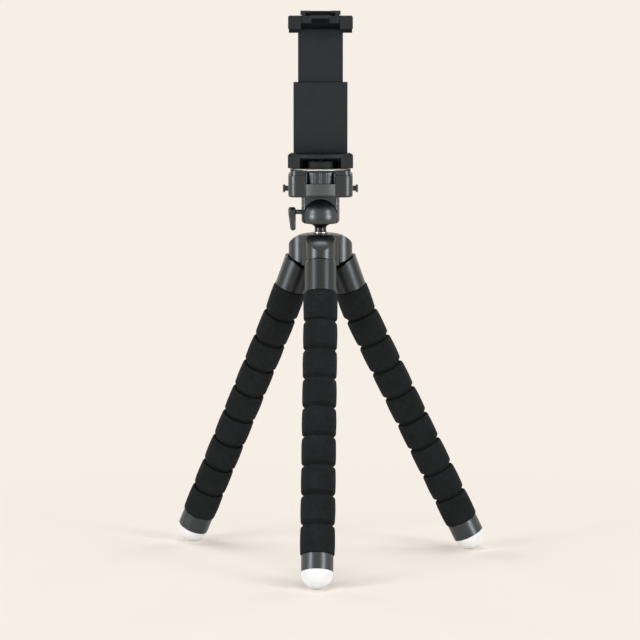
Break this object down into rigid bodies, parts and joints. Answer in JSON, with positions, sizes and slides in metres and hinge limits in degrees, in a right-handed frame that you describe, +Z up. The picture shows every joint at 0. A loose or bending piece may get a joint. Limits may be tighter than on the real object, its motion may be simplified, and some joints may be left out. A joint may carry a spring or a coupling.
{
  "type": "flexible leg tripod",
  "caption": "Small table tripod with bendable foam-covered legs, a ball head with lock lever and a spring phone clamp with an accessory shoe.",
  "frame": {"origin": "on the floor that the feet stand on, under the hub's axis", "axes": "+Z up along the hub's axis, -Y towards the front leg and the viewer, +X to the viewer's right"},
  "size_m": [0.199, 0.1781, 0.3475],
  "materials": {
    "foam": "closed-cell foam, matt, fine pores",
    "white_rubber": "smooth white rubber, satin",
    "ferrule_plastic": "moulded, semi-gloss",
    "gloss_black": "moulded, glossy",
    "moulded_black": "moulded, semi-gloss",
    "clamp_black": "moulded, satin",
    "pad_rubber": "matt rubber",
    "polished_metal": "polished dark chrome",
    "satin_metal": "satin, bright edge",
    "liner_plastic": "plain",
    "wire": "drawn wire",
    "steel": "plated"
  },
  "bodies": {
    "hub": {"hub": "gloss_black", "hinge_pins": "steel", "ball_stem": "polished_metal", "stem_collar": "polished_metal"},
    "front_leg_1": {"front_leg_cup": "gloss_black", "front_foam_1": "foam", "front_wire_core": "wire"},
    "front_leg_2": {"front_foam_2": "foam"},
    "front_leg_3": {"front_foam_3": "foam"},
    "front_leg_4": {"front_foam_4": "foam"},
    "front_leg_5": {"front_foam_5": "foam"},
    "front_leg_6": {"front_foam_6": "foam"},
    "front_leg_7": {"front_foam_7": "foam"},
    "front_leg_8": {"front_foam_8": "foam"},
    "front_leg_9": {"front_foam_9": "foam", "front_ferrule": "ferrule_plastic", "front_foot": "white_rubber"},
    "right_leg_1": {"right_leg_cup": "gloss_black", "right_foam_1": "foam", "right_wire_core": "wire"},
    "right_leg_2": {"right_foam_2": "foam"},
    "right_leg_3": {"right_foam_3": "foam"},
    "right_leg_4": {"right_foam_4": "foam"},
    "right_leg_5": {"right_foam_5": "foam"},
    "right_leg_6": {"right_foam_6": "foam"},
    "right_leg_7": {"right_foam_7": "foam"},
    "right_leg_8": {"right_foam_8": "foam"},
    "right_leg_9": {"right_foam_9": "foam", "right_ferrule": "ferrule_plastic", "right_foot": "white_rubber"},
    "left_leg_1": {"left_leg_cup": "gloss_black", "left_foam_1": "foam", "left_wire_core": "wire"},
    "left_leg_2": {"left_foam_2": "foam"},
    "left_leg_3": {"left_foam_3": "foam"},
    "left_leg_4": {"left_foam_4": "foam"},
    "left_leg_5": {"left_foam_5": "foam"},
    "left_leg_6": {"left_foam_6": "foam"},
    "left_leg_7": {"left_foam_7": "foam"},
    "left_leg_8": {"left_foam_8": "foam"},
    "left_leg_9": {"left_foam_9": "foam", "left_ferrule": "ferrule_plastic", "left_foot": "white_rubber"},
    "swivel": {"ball_liner": "liner_plastic"},
    "head": {"ball_housing": "gloss_black", "release_housing": "gloss_black", "release_plate": "gloss_black", "top_disc": "satin_metal", "button_springs": "steel"},
    "lever": {"lock_lever": "moulded_black"},
    "left_button": {"left_release_button": "moulded_black"},
    "right_button": {"right_release_button": "moulded_black"},
    "wheel": {"thumb_wheel": "moulded_black", "mounting_screw": "steel"},
    "clamp": {"clamp_base": "clamp_black", "thread_insert": "steel", "lower_jaw_pad": "pad_rubber", "clamp_springs": "steel"},
    "jaw": {"upper_jaw": "clamp_black", "upper_jaw_pad": "pad_rubber"}
  },
  "joints": [
    {"name": "front_leg_hinge", "type": "hinge", "parent": "hub", "child": "front_leg_1", "pos_m": [0, -0.013, 0.19472], "axis": [1, 0, 0], "range_deg": [0, 22]},
    {"name": "front_bend_1", "type": "hinge", "parent": "front_leg_1", "child": "front_leg_2", "pos_m": [0, -0.02768, 0.15838], "axis": [-0.7245, -0.6136, 0.3139], "range_deg": [-28, 28], "deforming": ["front_wire_core"]},
    {"name": "front_bend_2", "type": "hinge", "parent": "front_leg_2", "child": "front_leg_3", "pos_m": [-0.00023, -0.03605, 0.14149], "axis": [0.6891, -0.6531, 0.3139], "range_deg": [-28, 28], "deforming": ["front_wire_core"]},
    {"name": "front_bend_3", "type": "hinge", "parent": "front_leg_3", "child": "front_leg_4", "pos_m": [-0.00047, -0.04441, 0.1246], "axis": [-0.7245, -0.6136, 0.3139], "range_deg": [-28, 28], "deforming": ["front_wire_core"]},
    {"name": "front_bend_4", "type": "hinge", "parent": "front_leg_4", "child": "front_leg_5", "pos_m": [-0.0007, -0.05277, 0.1077], "axis": [0.6891, -0.6531, 0.3139], "range_deg": [-28, 28], "deforming": ["front_wire_core"]},
    {"name": "front_bend_5", "type": "hinge", "parent": "front_leg_5", "child": "front_leg_6", "pos_m": [-0.00093, -0.06114, 0.09081], "axis": [-0.7245, -0.6136, 0.3139], "range_deg": [-28, 28], "deforming": ["front_wire_core"]},
    {"name": "front_bend_6", "type": "hinge", "parent": "front_leg_6", "child": "front_leg_7", "pos_m": [-0.00117, -0.0695, 0.07392], "axis": [0.6891, -0.6531, 0.3139], "range_deg": [-28, 28], "deforming": ["front_wire_core"]},
    {"name": "front_bend_7", "type": "hinge", "parent": "front_leg_7", "child": "front_leg_8", "pos_m": [-0.0014, -0.07786, 0.05703], "axis": [-0.7245, -0.6136, 0.3139], "range_deg": [-28, 28], "deforming": ["front_wire_core"]},
    {"name": "front_bend_8", "type": "hinge", "parent": "front_leg_8", "child": "front_leg_9", "pos_m": [-0.00164, -0.08623, 0.04014], "axis": [0.6891, -0.6531, 0.3139], "range_deg": [-28, 28], "deforming": ["front_wire_core"]},
    {"name": "right_leg_hinge", "type": "hinge", "parent": "hub", "child": "right_leg_1", "pos_m": [0.01126, 0.0065, 0.19472], "axis": [-0.5, 0.866, 0], "range_deg": [0, 22]},
    {"name": "right_bend_1", "type": "hinge", "parent": "right_leg_1", "child": "right_leg_2", "pos_m": [0.02398, 0.01384, 0.15838], "axis": [0.7688, -0.5572, 0.3139], "range_deg": [-28, 28], "deforming": ["right_wire_core"]},
    {"name": "right_bend_2", "type": "hinge", "parent": "right_leg_2", "child": "right_leg_3", "pos_m": [0.03215, 0.01561, 0.14149], "axis": [0.4699, 0.825, 0.3139], "range_deg": [-28, 28], "deforming": ["right_wire_core"]},
    {"name": "right_bend_3", "type": "hinge", "parent": "right_leg_3", "child": "right_leg_4", "pos_m": [0.04033, 0.01738, 0.1246], "axis": [0.7688, -0.5572, 0.3139], "range_deg": [-28, 28], "deforming": ["right_wire_core"]},
    {"name": "right_bend_4", "type": "hinge", "parent": "right_leg_4", "child": "right_leg_5", "pos_m": [0.04851, 0.01915, 0.1077], "axis": [0.4699, 0.825, 0.3139], "range_deg": [-28, 28], "deforming": ["right_wire_core"]},
    {"name": "right_bend_5", "type": "hinge", "parent": "right_leg_5", "child": "right_leg_6", "pos_m": [0.05669, 0.02091, 0.09081], "axis": [0.7688, -0.5572, 0.3139], "range_deg": [-28, 28], "deforming": ["right_wire_core"]},
    {"name": "right_bend_6", "type": "hinge", "parent": "right_leg_6", "child": "right_leg_7", "pos_m": [0.06486, 0.02268, 0.07392], "axis": [0.4699, 0.825, 0.3139], "range_deg": [-28, 28], "deforming": ["right_wire_core"]},
    {"name": "right_bend_7", "type": "hinge", "parent": "right_leg_7", "child": "right_leg_8", "pos_m": [0.07304, 0.02445, 0.05703], "axis": [0.7688, -0.5572, 0.3139], "range_deg": [-28, 28], "deforming": ["right_wire_core"]},
    {"name": "right_bend_8", "type": "hinge", "parent": "right_leg_8", "child": "right_leg_9", "pos_m": [0.08122, 0.02622, 0.04014], "axis": [0.4699, 0.825, 0.3139], "range_deg": [-28, 28], "deforming": ["right_wire_core"]},
    {"name": "left_leg_hinge", "type": "hinge", "parent": "hub", "child": "left_leg_1", "pos_m": [-0.01126, 0.0065, 0.19472], "axis": [-0.5, -0.866, 0], "range_deg": [0, 22]},
    {"name": "left_bend_1", "type": "hinge", "parent": "left_leg_1", "child": "left_leg_2", "pos_m": [-0.02398, 0.01384, 0.15838], "axis": [-0.0953, 0.9447, 0.3139], "range_deg": [-28, 28], "deforming": ["left_wire_core"]},
    {"name": "left_bend_2", "type": "hinge", "parent": "left_leg_2", "child": "left_leg_3", "pos_m": [-0.03074, 0.01877, 0.14149], "axis": [-0.9286, -0.198, 0.3139], "range_deg": [-28, 28], "deforming": ["left_wire_core"]},
    {"name": "left_bend_3", "type": "hinge", "parent": "left_leg_3", "child": "left_leg_4", "pos_m": [-0.0375, 0.0237, 0.1246], "axis": [-0.0953, 0.9447, 0.3139], "range_deg": [-28, 28], "deforming": ["left_wire_core"]},
    {"name": "left_bend_4", "type": "hinge", "parent": "left_leg_4", "child": "left_leg_5", "pos_m": [-0.04426, 0.02863, 0.1077], "axis": [-0.9286, -0.198, 0.3139], "range_deg": [-28, 28], "deforming": ["left_wire_core"]},
    {"name": "left_bend_5", "type": "hinge", "parent": "left_leg_5", "child": "left_leg_6", "pos_m": [-0.05102, 0.03356, 0.09081], "axis": [-0.0953, 0.9447, 0.3139], "range_deg": [-28, 28], "deforming": ["left_wire_core"]},
    {"name": "left_bend_6", "type": "hinge", "parent": "left_leg_6", "child": "left_leg_7", "pos_m": [-0.05778, 0.03849, 0.07392], "axis": [-0.9286, -0.198, 0.3139], "range_deg": [-28, 28], "deforming": ["left_wire_core"]},
    {"name": "left_bend_7", "type": "hinge", "parent": "left_leg_7", "child": "left_leg_8", "pos_m": [-0.06454, 0.04342, 0.05703], "axis": [-0.0953, 0.9447, 0.3139], "range_deg": [-28, 28], "deforming": ["left_wire_core"]},
    {"name": "left_bend_8", "type": "hinge", "parent": "left_leg_8", "child": "left_leg_9", "pos_m": [-0.0713, 0.04835, 0.04014], "axis": [-0.9286, -0.198, 0.3139], "range_deg": [-28, 28], "deforming": ["left_wire_core"]},
    {"name": "ball_pan", "type": "hinge", "parent": "hub", "child": "swivel", "pos_m": [0, 0, 0.22022], "axis": [0, 0, 1], "continuous": true},
    {"name": "ball_tilt", "type": "hinge", "parent": "swivel", "child": "head", "pos_m": [0, 0, 0.22022], "axis": [1, 0, 0], "range_deg": [-28, 28]},
    {"name": "lever_turn", "type": "hinge", "parent": "head", "child": "lever", "pos_m": [-0.0156, 0, 0.22122], "axis": [1, 0, 0], "range_deg": [-110, 110]},
    {"name": "left_button_press", "type": "slide", "parent": "head", "child": "left_button", "axis": [1, 0, 0], "range_m": [0, 0.002], "stiffness_N_per_m": 400, "deforming": ["button_springs"]},
    {"name": "right_button_press", "type": "slide", "parent": "head", "child": "right_button", "axis": [-1, 0, 0], "range_m": [0, 0.002], "stiffness_N_per_m": 400, "deforming": ["button_springs"]},
    {"name": "wheel_turn", "type": "hinge", "parent": "head", "child": "wheel", "pos_m": [0, 0, 0.24742], "axis": [0, 0, 1], "continuous": true},
    {"name": "clamp_turn", "type": "hinge", "parent": "head", "child": "clamp", "pos_m": [0, 0, 0.24922], "axis": [0, 0, 1], "continuous": true},
    {"name": "jaw_slide", "type": "slide", "parent": "clamp", "child": "jaw", "axis": [0, 0, 1], "range_m": [-0.021, 0.006], "deforming": ["clamp_springs"]}
  ]
}
